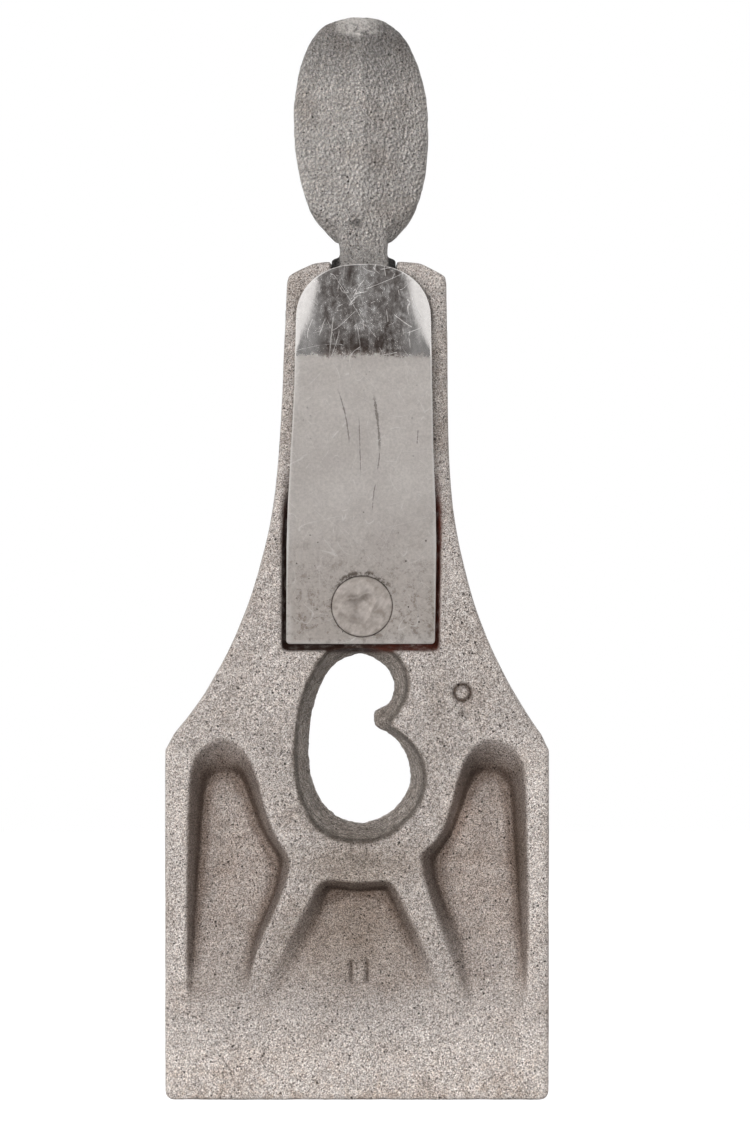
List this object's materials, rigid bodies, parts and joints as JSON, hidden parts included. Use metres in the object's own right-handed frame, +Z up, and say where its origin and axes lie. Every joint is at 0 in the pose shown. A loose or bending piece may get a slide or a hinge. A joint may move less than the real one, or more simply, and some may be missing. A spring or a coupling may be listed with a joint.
{
  "type": "bench plane lever cap",
  "caption": "Cast-iron lever cap for a bench plane, with a screw keyhole, a riveted flat spring and a pinned cam lever with an oval thumb pad.",
  "frame": {"origin": "middle of the nose's flat end face, the edge that presses on the plane iron", "axes": "+Z up the cap from the nose to the thumb lever, +X across its width, -Y out of its back, the side with the spring and the pockets"},
  "size_m": [0.05, 0.0141, 0.141],
  "materials": {
    "cast_iron": "grit-blasted casting, grainy, warm light grey",
    "lever_iron": "grit-blasted casting, grainy, neutral grey",
    "pin_steel": "dressed flush, dull",
    "spring_steel": "worn satin with scratches, polished at the bent tip",
    "rivet_steel": "dressed flush, peened, dull"
  },
  "bodies": {
    "cap": {"lever_cap": "cast_iron", "lever_pin": "pin_steel", "spring_rivet": "rivet_steel"},
    "lever": {"cam_lever": "lever_iron"},
    "spring": {"spring_plate": "spring_steel"}
  },
  "joints": [
    {"name": "lever_hinge", "type": "hinge", "parent": "cap", "child": "lever", "pos_m": [0, 0.0046, 0.1015], "axis": [-1, 0, 0], "range_deg": [0, 100]},
    {"name": "spring_flex", "type": "hinge", "parent": "cap", "child": "spring", "pos_m": [0, -0.0005, 0.0642], "axis": [-1, 0, 0], "range_deg": [0, 1.25]}
  ],
  "couplings": [
    {"joint": "spring_flex", "follows": "lever_hinge", "ratio": 0.012}
  ]
}
